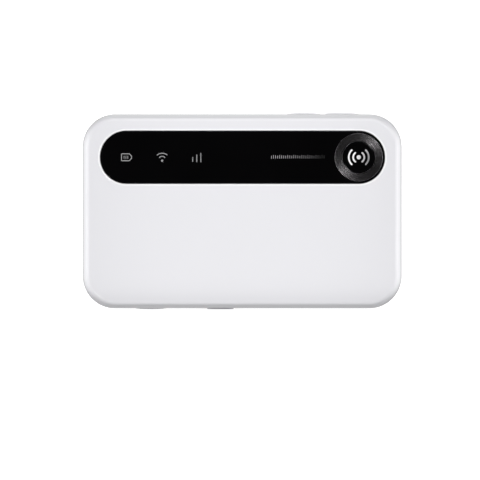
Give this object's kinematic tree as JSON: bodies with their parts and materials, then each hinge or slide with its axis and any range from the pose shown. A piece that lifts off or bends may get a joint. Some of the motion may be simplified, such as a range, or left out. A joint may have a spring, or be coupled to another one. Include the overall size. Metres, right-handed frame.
{
  "type": "mobile hotspot",
  "caption": "Pocket mobile hotspot: white rounded case, black indicator window with a round spun-metal emblem, edge keys, SIM tray and USB-C port.",
  "frame": {"origin": "on the resting surface, under the middle of the case", "axes": "+Z out of the face, +X along the long side, towards the emblem's end, +Y towards the edge that carries the keys"},
  "size_m": [0.12, 0.074, 0.0169],
  "materials": {
    "white_gloss": "injection moulded, high gloss, white",
    "window_black": "polished black window",
    "spun_metal": "spun, dark anodised, circular grain",
    "grey_rubber": "matt, soft grey",
    "plated_steel": "nickel plated steel",
    "tinned_sheet": "tinned sheet, satin",
    "black_moulding": "black moulding, fine texture",
    "chassis_grey": "dark grey moulding",
    "ivory_moulding": "ivory moulding",
    "tape_film": "black adhesive film",
    "pouch_foil": "laminated pouch foil, satin",
    "board_laminate": "solder-masked glass laminate",
    "clear_moulding": "clear moulding",
    "silicone_pad": "soft thermal pad",
    "antenna_carrier": "moulded carrier with plated tracks",
    "gold_plate": "gold plated spring strip",
    "label_foil": "blank silver-white foil label",
    "wire_red": "red wire insulation"
  },
  "bodies": {
    "housing": {"front_shell": "white_gloss", "rear_shell": "white_gloss", "window_lens": "window_black", "window_tape": "tape_film", "emblem_ring": "spun_metal", "emblem_disc": "window_black", "upper_rubber_strip": "grey_rubber", "lower_rubber_strip": "grey_rubber", "rating_label": "label_foil", "mid_frame": "chassis_grey", "power_switch": "black_moulding", "function_switch": "black_moulding", "reset_switch": "black_moulding", "usb_c_bezel": "plated_steel", "usb_c_shell": "plated_steel", "usb_c_tongue": "black_moulding", "sim_socket": "plated_steel", "main_board": "board_laminate", "modem_chip": "black_moulding", "memory_chip": "black_moulding", "wifi_chip": "black_moulding", "modem_shield": "tinned_sheet", "wifi_shield": "tinned_sheet", "thermal_pad": "silicone_pad", "heat_spreader": "tinned_sheet", "battery_led": "ivory_moulding", "wireless_led": "ivory_moulding", "signal_led": "ivory_moulding", "light_guide": "clear_moulding", "light_baffle": "black_moulding", "battery_pack": "pouch_foil", "battery_tape": "tape_film", "battery_wire_plus": "wire_red", "battery_wire_minus": "black_moulding", "battery_plug": "ivory_moulding", "battery_socket": "black_moulding", "antenna_left": "antenna_carrier", "antenna_right": "antenna_carrier", "antenna_top": "antenna_carrier", "antenna_bottom": "antenna_carrier", "antenna_spring_left": "gold_plate", "antenna_spring_right": "gold_plate", "antenna_spring_top": "gold_plate", "antenna_spring_bottom": "gold_plate", "case_screw_1": "plated_steel", "board_screw_1": "plated_steel", "case_screw_2": "plated_steel", "board_screw_2": "plated_steel", "case_screw_3": "plated_steel", "board_screw_3": "plated_steel", "case_screw_4": "plated_steel", "board_screw_4": "plated_steel"},
    "power_key_body": {"power_key": "white_gloss", "power_plunger": "ivory_moulding"},
    "function_key_body": {"function_key": "white_gloss", "function_plunger": "ivory_moulding"},
    "sim_tray_body": {"sim_tray": "white_gloss", "sim_card": "label_foil"},
    "reset_button_body": {"reset_plunger": "ivory_moulding"}
  },
  "joints": [
    {"name": "power_key_press", "type": "slide", "parent": "housing", "child": "power_key_body", "axis": [0, -1, 0], "range_m": [0, 0.0004], "stiffness_N_per_m": 1200},
    {"name": "function_key_press", "type": "slide", "parent": "housing", "child": "function_key_body", "axis": [0, -1, 0], "range_m": [0, 0.0004], "stiffness_N_per_m": 1200},
    {"name": "sim_tray_slide", "type": "slide", "parent": "housing", "child": "sim_tray_body", "axis": [0, -1, 0], "range_m": [0, 0.018]},
    {"name": "reset_press", "type": "slide", "parent": "housing", "child": "reset_button_body", "axis": [0, 1, 0], "range_m": [0, 0.0003], "stiffness_N_per_m": 1200}
  ]
}
